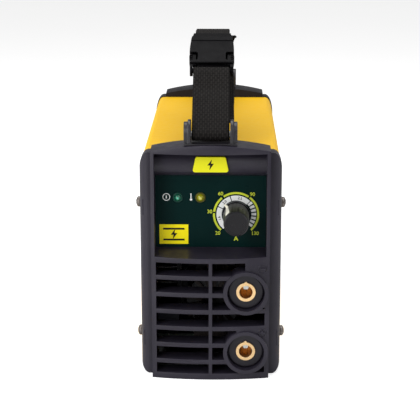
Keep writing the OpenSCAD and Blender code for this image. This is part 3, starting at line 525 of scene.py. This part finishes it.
def prism(name, outline, low, high, material, plane="XY"):
    """Outline in millimetres, extruded from low to high. XY extrudes along Z, YZ along X and XZ along Y."""
    order = {"XY": (0, 1, 2), "YZ": (1, 2, 0), "XZ": (0, 2, 1)}[plane]
    count = len(outline)
    vertices = []
    for level in (low, high):
        for a, b in outline:
            point = [0, 0, 0]
            point[order[0]], point[order[1]], point[order[2]] = a, b, level
            vertices.append(point)
    faces = [list(range(count))[::-1], list(range(count, 2 * count))]
    faces += [[i, (i + 1) % count, count + (i + 1) % count, count + i] for i in range(count)]
    made = mesh_object(name, vertices, faces, material, smooth=False)
    fix_normals(made.data)
    return made


def fix_normals(mesh):
    """Turns every face outwards."""
    work = bmesh.new()
    work.from_mesh(mesh)
    bmesh.ops.recalc_face_normals(work, faces=work.faces)
    work.to_mesh(mesh)
    work.free()


def rectangle(x0, x1, y0, y1):
    """Outline of a rectangle."""
    return [(x0, y0), (x1, y0), (x1, y1), (x0, y1)]


def combine(made, other, operation="DIFFERENCE"):
    """Boolean of two objects; the second one is used up."""
    cut = made.modifiers.new("cut", "BOOLEAN")
    cut.operation = operation
    cut.object = other
    cut.solver = "EXACT"
    bake(made)
    bpy.data.objects.remove(other)
    return made


def dial_point(radius, angle):
    """Point (X, Z) of the dial; the angle is in degrees clockwise from the top."""
    turn = math.radians(angle)
    return (DIAL_X + radius * math.sin(turn), DIAL_Z + radius * math.cos(turn))


def ring_sector(name, inner, outer, start, end, material):
    """Flat printed arc on the dial, from angle start to angle end."""
    steps = max(2, int(abs(end - start) / 4))
    angles = [start + (end - start) * i / steps for i in range(steps + 1)]
    outline = [dial_point(outer, angle) for angle in angles]
    outline += [dial_point(inner, angle) for angle in reversed(angles)]
    return panel_shape(name, outline, material)


def on_panel(made):
    """Printed marks ride on the case."""
    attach(made, "root")
    return made


# ---------------------------------------------------------------- CAD nodes


def dress_cad_nodes():
    """Gives the CAD nodes that stay in view their materials, rounded edges and a smooth cable."""
    for material, names in CAD_LOOKS:
        for name in names.split():
            cad_nodes[name].data.materials.clear()
            cad_nodes[name].data.materials.append(material)
    for radius, names in ROUNDED:
        for name in names.split():
            round_edges(cad_nodes[name], radius)
    smooth = cad_nodes["mains_cable"].modifiers
    smooth.new("weld", "WELD").merge_threshold = 1e-6
    smooth.new("smooth", "SUBSURF").render_levels = 1


# ---------------------------------------------------------------- panel print


def dial():
    """Scale round the knob: an outer line in four parts, a band for the rod sizes, and dashes."""
    line_parts = ((-137, -87), (-83, -40), (-34, 34), (38, 137))
    for i, (start, end) in enumerate(line_parts):
        ring_sector(f"dial_line_{i}", *LINE_RADII, start, end, ink_lime)
    band_parts = ((-140, -67.5), (-64.5, -19.5), (-16.5, 45))
    for i, (start, end) in enumerate(band_parts):
        ring_sector(f"dial_band_{i}", *BAND_RADII, start, end, ink_white)
    dashes, first, spacing, half = 7, 51.5, 12.5, 4.2
    for i in range(dashes):
        middle = first + spacing * i
        ring_sector(f"dial_dash_{i}", *DASH_RADII, middle - half, middle + half, ink_white)
    for text, angle, radius in (("20", -137, 18.2), ("30", -84, 18.0), ("60", -36, 17.9),
                                ("90", 38, 17.9), ("130", 136, 18.6), ("A", 180, 17.2)):
        size = 4.4 if text == "A" else 3.5
        panel_text(f"dial_number_{text}", text, dial_point(radius, angle), size, ink_lime, 0.07)
    for text, angle in (("1.6", -104), ("2.0", -42), ("2.5", 13)):
        place = dial_point(sum(BAND_RADII) / 2, angle)
        panel_text(f"dial_size_{text}", text, place, 2.5, ink_black, 0.03, turn=-angle, lift=2 * PRINT_LIFT)


def panel_text(name, text, place, size, material, weight, turn=0.0, lift=PRINT_LIFT):
    """Number printed on the panel, centred on place (X, Z)."""
    curve = bpy.data.curves.new(name, "FONT")
    curve.body = text
    curve.size = size * MM
    curve.align_x = "CENTER"
    curve.align_y = "CENTER"
    curve.extrude = PRINT_LIFT / 2 * MM
    curve.offset = weight * MM
    letters = bpy.data.objects.new(name, curve)
    bpy.context.scene.collection.objects.link(letters)
    letters.matrix_world = (
        Matrix.Translation(Vector((place[0], PANEL_Y - lift + PRINT_LIFT / 2, place[1])) * MM)
        @ Matrix.Rotation(math.radians(turn), 4, "Y").inverted()
        @ Matrix.Rotation(math.radians(90), 4, "X")
    )
    bpy.context.view_layer.update()
    mesh = bpy.data.meshes.new_from_object(letters.evaluated_get(bpy.context.evaluated_depsgraph_get()))
    mesh.transform(letters.matrix_world)
    mesh.materials.clear()
    mesh.materials.append(material)
    bpy.data.objects.remove(letters)
    made = bpy.data.objects.new(name.replace(".", "_"), mesh)
    bpy.context.scene.collection.objects.link(made)
    return on_panel(made)


def disc_outline(x, z, radius, steps=40):
    """Circle as a list of points."""
    return [(x + radius * math.cos(2 * math.pi * i / steps), z + radius * math.sin(2 * math.pi * i / steps))
            for i in range(steps)]


def panel_shape(name, outline, material, lift=PRINT_LIFT):
    """Flat mark printed on the panel."""
    return on_panel(prism(name, outline, PANEL_Y - lift, PANEL_Y + PRINT_SINK, material, "XZ"))


def lamp_marks():
    """Power mark beside the green lamp and thermometer beside the yellow one."""
    z = 125.3
    power_x, heat_x = -30.1, -13.4
    half_line = 0.35
    ring = prism("mark_power_ring", disc_outline(power_x, z, 2.6), PANEL_Y - PRINT_LIFT, PANEL_Y + PRINT_SINK,
                 ink_white, "XZ")
    hole = prism("hole", disc_outline(power_x, z, 2.1), PANEL_Y - 1, PANEL_Y + 1, ink_white, "XZ")
    on_panel(combine(ring, hole))
    bar = rectangle(power_x - half_line, power_x + half_line, z - 1.1, z + 1.1)
    panel_shape("mark_power_bar", bar, ink_white)
    panel_shape("mark_heat_bulb", disc_outline(heat_x, z - 1.7, 0.85), ink_white)
    stem = rectangle(heat_x - half_line, heat_x + half_line, z - 1.2, z + 2.5)
    panel_shape("mark_heat_stem", stem, ink_white)


def bolt_outline(x, z, height):
    """Generic lightning bolt."""
    shape = ((0.12, 0.5), (-0.3, -0.06), (-0.04, -0.06), (-0.12, -0.5), (0.3, 0.1), (0.04, 0.1))
    return [(x + a * height, z + b * height) for a, b in shape]


def emblems():
    """Plain yellow plates with a generic bolt, one on the panel and one on the lip's badge."""
    panel_shape("emblem_plate", rectangle(-35.0, -15.3, 92.2, 106.0), ink_yellow)
    for name, low, high in (("emblem_bar_low", 94.6, 95.9), ("emblem_bar_high", 102.3, 103.6)):
        panel_shape(name, rectangle(-32.4, -17.9, low, high), ink_black, 2 * PRINT_LIFT)
    panel_shape("emblem_bolt", bolt_outline(-25.1, 99.1, 7.4), ink_black, 2 * PRINT_LIFT)
    badge_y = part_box("badge_plate")[0].y / MM
    badge_z = (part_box("badge_plate")[0].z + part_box("badge_plate")[1].z) / 2 / MM
    bolt = prism("badge_bolt", bolt_outline(0, badge_z, 7.2), badge_y - 0.12, badge_y + 0.05, ink_black, "XZ")
    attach(bolt, "root")


# ---------------------------------------------------------------- webbing


def arch_z(y, top=ARCH_TOP):
    """Height of the strap's arch."""
    return ARCH_LOW + (top - ARCH_LOW) * (1 - (y / ARCH_END) ** 2)


def buckle_point(along, up=0.0):
    """Point (Y, Z) given along and above the buckle's own axis."""
    c, s = math.cos(BUCKLE_PITCH), math.sin(BUCKLE_PITCH)
    return (BUCKLE_Y + along * c - up * s, BUCKLE_Z + along * s + up * c)


def spline(points, step):
    """Smooth curve through (y, z) points, cut into equal steps."""
    fine = []
    for i in range(len(points) - 1):
        p0, p1, p2, p3 = (Vector(points[max(0, min(len(points) - 1, i + k))]) for k in (-1, 0, 1, 2))
        for k in range(24):
            t = k / 24
            fine.append(0.5 * (2 * p1 + (p2 - p0) * t + (2 * p0 - 5 * p1 + 4 * p2 - p3) * t * t
                               + (3 * p1 - p0 - 3 * p2 + p3) * t ** 3))
    fine.append(Vector(points[-1]))
    evened, left = [fine[0]], step
    for a, b in zip(fine, fine[1:]):
        length = (b - a).length
        while length >= left:
            a = a.lerp(b, left / length)
            length = (b - a).length
            evened.append(a)
            left = step
        left -= length
    return evened


def weave_height(across, along):
    """Relief of a plain weave, 0 to 1: each yarn floats over every other pick."""
    yarn = math.floor(across / YARN + 0.5)
    bulge = math.cos(math.pi * (across / YARN - yarn))
    over = 0.5 + 0.5 * math.cos(math.pi * (along / PICK + yarn))
    rib = abs(math.sin(math.pi * along / PICK))
    return bulge * (0.25 + 0.45 * over) + 0.3 * rib


def webbing(name, points):
    """Flat woven strap with rounded selvedges, along (y, z) points.

    A point may add a side shift and a twist.
    """
    step = PICK / 6
    path = spline([(*point, 0, 0)[:4] for point in points], step)
    columns = int(WEB_WIDTH / YARN * 4)
    half = WEB_THICK / 2
    vertices, relief = [], []
    for i, point in enumerate(path):
        ahead = path[min(i + 1, len(path) - 1)] - path[max(i - 1, 0)]
        slope = Vector(ahead[:2]).normalized()
        flat = Vector((0, -slope.y, slope.x))
        across_axis = Vector((math.cos(point[3]), 0, 0)) + flat * math.sin(point[3])
        normal = flat * math.cos(point[3]) - Vector((math.sin(point[3]), 0, 0))
        centre = Vector((point[2], point[0], point[1]))
        for side in (1, -1):
            for k in range(columns + 1):
                across = (k / columns - 0.5) * WEB_WIDTH * side
                inset = max(0.0, abs(across) - (WEB_WIDTH / 2 - half)) / half
                edge = math.sqrt(max(0.0, 1 - inset * inset))
                height = weave_height(across + (0.5 * YARN if side < 0 else 0), i * step)
                out = side * edge * (half - RELIEF + RELIEF * height)
                vertices.append(centre + across_axis * across + normal * out)
                relief.append(height * (0.5 + 0.5 * edge))
    ring = 2 * (columns + 1)
    faces = []
    for i in range(len(path) - 1):
        for k in range(ring):
            a, b = i * ring + k, i * ring + (k + 1) % ring
            faces.append((a, b, b + ring, a + ring))
    last = (len(path) - 1) * ring
    for k in range(columns):
        faces.append((k, ring - 1 - k, ring - 2 - k, k + 1))
        faces.append((last + k, last + k + 1, last + ring - 2 - k, last + ring - 1 - k))
    made = mesh_object(name, vertices, faces, web_black)
    made.data.attributes.new("relief", "FLOAT", "POINT").data.foreach_set("value", relief)
    fix_normals(made.data)
    return made


def loop_points(side):
    """Webbing round a bar, from the sewn end under the strand to where the strand leaves the bar."""
    centre = Vector((BAR_Y, BAR_Z))
    rise = math.radians(STRAND_RISE)
    start = centre + LOOP_R * Vector((-math.sin(rise), math.cos(rise)))
    out = Vector((math.cos(rise), math.sin(rise)))
    under = Vector((math.sin(rise), -math.cos(rise)))
    sewn = [start + out * reach + under * (WEB_THICK + 0.1) for reach in (19, 14, 9.5)]
    steps, turn_step = 7, 36
    turn = [math.radians(90 + STRAND_RISE + turn_step * (steps - i)) for i in range(steps + 1)]
    points = sewn + [centre + LOOP_R * Vector((math.cos(a), math.sin(a))) for a in turn]
    return [(p.x * side, p.y) for p in points]


def strap():
    """Front strand and tail ride with the strap; the rear strand, between the case and the strap, is baked in
    place and left unattached.
    """
    rise_step = 6
    front_ys = [-ARCH_END + rise_step * i for i in range(1, 6)]
    strand = [(y, arch_z(y)) for y in front_ys]
    round_bar = ((-30, 0.6), (-27, 1.6), (-24, 2.1), (-21.9, 1.1), (-21.6, -0.8), (-23.2, -2.2), (-26, -2.1),
                 (-28.5, -1.8))
    over_bar = [buckle_point(*place) for place in round_bar]
    front = webbing("webbing_front", loop_points(1) + strand + over_bar)
    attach(front, "strap")
    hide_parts("front_strand")

    count, behind_buckle = 14, -13
    ys = [behind_buckle + (ARCH_END - behind_buckle) * i / count for i in range(count)]
    rear_points = [buckle_point(19.2), buckle_point(24)] + [(y, arch_z(y, REAR_TOP)) for y in ys]
    rear = webbing("webbing_rear", rear_points + loop_points(-1)[::-1])
    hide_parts("rear_strand")
    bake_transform(rear)

    hang = ((23, 0.4, 5.0, 0), (26.2, -1.4, 4.4, 0), (26.8, -7, 2.6, 0), (24, -17, 2.4, -4),
            (16, -27, 3.2, -14), (3, -33.5, 4.6, -24), (-13, -34.5, 4.7, -26), (-29, -31, 3.6, -16),
            (-45, -28, 3.2, 0))
    tail_points = [(*buckle_point(along, up), shift, math.radians(twist)) for along, up, shift, twist in hang]
    tail = webbing("webbing_tail", tail_points)
    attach(tail, "strap")
    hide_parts("strap_tail")
    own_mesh(tail)


# ---------------------------------------------------------------- buckle


def place_in_buckle(made, body, *replaced):
    """Moves a piece from the buckle's own axes (X, along, up) into the row frame."""
    turn = Matrix.Translation(Vector((0, BUCKLE_Y, BUCKLE_Z)) * MM) @ Matrix.Rotation(BUCKLE_PITCH, 4, "X")
    made.data.transform(turn)
    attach(made, body)
    if replaced:
        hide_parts(*replaced)
    return made


def block(name, x, y, z):
    """Box of buckle plastic, given by its span along each axis."""
    return prism(name, rectangle(x[0], x[1], y[0], y[1]), z[0], z[1], buckle_black)


def female_outline():
    """Plan of the hollow half: bowed sides that draw in towards the webbing."""
    widest, steps = -3, 12
    right = []
    for i in range(steps + 1):
        along = BUCKLE_MOUTH + (BUCKLE_HALF_L - BUCKLE_MOUTH) * i / steps
        past = along - widest
        inset = 0.5 * (past / 15) ** 2 if past < 0 else 2.4 * (past / 28) ** 2
        right.append((BUCKLE_HALF_W - inset, along))
    return right + [(-x, y) for x, y in reversed(right)]


def hollow_half():
    """Half that takes the prongs: hollow, stepped on top, with a notch at each side for a press pad."""
    t = BUCKLE_HALF_T
    female = prism("buckle_hollow_half", female_outline(), -t, t, buckle_black)
    profile = [(BUCKLE_MOUTH, -t + 0.4), (10, -t), (17, -t + 0.6), (25, -2.4), (25, 2.2), (17.4, 2.9),
               (16.6, t), (11.4, t), (10.6, t - 0.6), (-17.6, t - 0.6), (BUCKLE_MOUTH, t - 0.9)]
    side_view = prism("side", profile, -20, 20, buckle_black, "YZ")
    combine(female, side_view, "INTERSECT")
    combine(female, block("cavity", (-13.4, 13.4), (-19, 10), (-3.2, 3.0)))
    combine(female, block("slot", (-12.9, 12.9), (18.2, 26), (-1.25, 1.25)))
    for side in (-1, 1):
        for inner, low, high in ((9.7, -2.8, 6), (11.4, -6, -2.9)):
            notch = [(inner, -14), (inner + 1, -15), (20, -15), (20, -4), (inner + 1, -4), (inner, -5)]
            combine(female, prism("notch", [(side * x, y) for x, y in notch], low, high, buckle_black))
    round_edges(female, 0.55)
    place_in_buckle(bake(female), "strap", "buckle_female")


def bar_half():
    """Half that holds the webbing's bar between two cheeks, with a tongue that guides it in."""
    male = block("buckle_bar_half", (-14.6, 14.6), (-20.9, -19.4), (-3.6, -0.2))
    combine(male, block("insert", (-9.8, 9.8), (-19.6, -16), (-3.0, 1.2)), "UNION")
    for side in (-1, 1):
        cheek = [(-26, -1.6), (-25.2, -3.4), (-20.8, -3.8), (-20.8, 3.6), (-24, 3.6), (-26, 1.2)]
        ends = sorted((side * 12.9, side * 14.9))
        combine(male, prism("cheek", cheek, ends[0], ends[1], buckle_black, "YZ"), "UNION")
    bar = disc_outline(-23.6, 0, 1.1, 16)
    combine(male, prism("bar", bar, -13.2, 13.2, buckle_black, "YZ"), "UNION")
    combine(male, block("tongue", (-4, 4), (-19.8, 9.6), (-2.4, -0.6)), "UNION")
    round_edges(male, 0.35)
    place_in_buckle(bake(male), "strap", "buckle_male")


def press_pads():
    """Pads at the ends of the prongs, each with three ribs for the thumb."""
    first_rib, rib_pitch, rib_width = -12.4, 2.3, 1.0
    for side, label in ((1, "right"), (-1, "left")):
        pad = [(10.7, -19.2), (12.8, -19.2), (13.0, -14.6), (14.6, -14.2), (15.3, -11), (15.4, -7.5),
               (14.9, -4.7), (10.9, -4.7)]
        prong = prism(f"buckle_press_{label}", [(x * side, y) for x, y in pad], -2.3, 2.3, buckle_black)
        for rib in range(3):
            ends = sorted((side * 13.4, side * 15.45))
            start = first_rib + rib_pitch * rib
            grip = block("grip", ends, (start, start + rib_width), (-3.3, 3.3))
            combine(prong, grip, "UNION")
        round_edges(prong, 0.3, 2)
        place_in_buckle(bake(prong), f"prong_{label}", f"buckle_prong_{label}")


# ---------------------------------------------------------------- small details


def socket_keys():
    """Steel key at the top of each socket's bore."""
    for name in ("negative", "positive"):
        low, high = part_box(f"{name}_socket_contact")
        x = (low.x + high.x) / 2 / MM
        y = low.y / MM
        bore = frame_mount(f"output_{name}")
        shape = [(-1.8, 4.6), (-1.9, 2.8), (-1.2, 1.7), (1.2, 1.7), (1.9, 2.8), (1.8, 4.6)]
        outline = [(x + a, bore + b) for a, b in shape]
        key = prism(f"socket_key_{name}", outline, y + 1.2, y + 8, key_grey, "XZ")
        round_edges(key, 0.3, 2)
        bake(key)
        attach(key, "root")


def sign_rings():
    """Raised circle round each polarity sign, on the bowed face of the centre frame."""
    sign_x, signs = 35.5, (("negative", 79.3), ("positive", 33.5))
    ring_r, wire_r = 3.1, 0.42
    frame_r, frame_front = 202.0, -125.0
    steps, sides = 40, 8
    for name, z in signs:
        vertices = []
        for i in range(steps):
            a = 2 * math.pi * i / steps
            for k in range(sides):
                b = 2 * math.pi * k / sides
                reach = ring_r + wire_r * math.cos(b)
                x = sign_x + reach * math.cos(a)
                face = frame_front + frame_r - math.sqrt(frame_r * frame_r - x * x)
                vertices.append((x, face + wire_r * math.sin(b), z + reach * math.sin(a)))
        count = steps * sides
        faces = []
        for i in range(steps):
            for k in range(sides):
                a, b = i * sides + k, i * sides + (k + 1) % sides
                faces.append((a, b, (b + sides) % count, (a + sides) % count))
        ring = mesh_object(f"sign_ring_{name}", vertices, faces, case_black)
        fix_normals(ring.data)
        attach(ring, "root")


def frame_mount(name):
    """Height of a mount in millimetres."""
    found = [mount for mount in frame["record"]["mounts"] if mount["name"] == name]
    return found[0]["pos_m"][2] / MM


# ---------------------------------------------------------------- stage


def softbox(name, place, size, energy, aim=STAGE_MIDDLE):
    """Rectangular light at a place, turned towards aim."""
    light = bpy.data.lights.new(name, "AREA")
    light.shape = "RECTANGLE"
    light.size, light.size_y = size
    light.energy = energy
    lamp = bpy.data.objects.new(name, light)
    lamp.location = Vector(place) * MM
    lamp.rotation_euler = (Vector(place) - Vector(aim)).to_track_quat("Z", "Y").to_euler()
    bpy.context.scene.collection.objects.link(lamp)


def stage():
    """Floor, even world light and the softboxes."""
    half = FLOOR_HALF
    corners = [(-half, -half, 0), (half, -half, 0), (half, half, 0), (-half, half, 0)]
    floor = mesh_object("floor", corners, [(0, 1, 2, 3)], floor_look("floor"))

    world = bpy.data.worlds.new("studio")
    bpy.context.scene.world = world
    world.use_nodes = True
    world.node_tree.nodes["Background"].inputs[0].default_value = (1, 1, 1, 1)
    world.node_tree.nodes["Background"].inputs[1].default_value = WORLD_LIGHT
    softbox("key", (-750, -1150, 420), (0.7, 0.9), 7.6)
    softbox("fill_right", (1000, -300, 400), (0.4, 1.0), 2)
    softbox("fill_left", (-1000, -200, 400), (0.4, 1.0), 4)
    softbox("top", (0, 200, 1200), (0.9, 0.9), 7)
    for name, side in (("edge_left", -1), ("edge_right", 1)):
        shoulder = (side * 45, -105, 140)
        softbox(name, (side * 420, -520, 620), (0.1, 0.5), 1.1, shoulder)


def camera():
    """Long lens, a little above the top of the case and looking slightly down."""
    lens_data = bpy.data.cameras.new("camera")
    lens_data.lens = CAMERA_LENS
    lens_data.sensor_width = 36
    made = bpy.data.objects.new("camera", lens_data)
    made.location = Vector(CAMERA_PLACE) * MM
    made.rotation_euler = (math.radians(90 - CAMERA_PITCH), 0, math.radians(CAMERA_YAW))
    bpy.context.scene.collection.objects.link(made)
    bpy.context.scene.camera = made


dress_cad_nodes()
dial()
lamp_marks()
emblems()
strap()
hollow_half()
bar_half()
press_pads()
socket_keys()
sign_rings()
stage()
camera()
bpy.context.scene.view_settings.view_transform = "Standard"
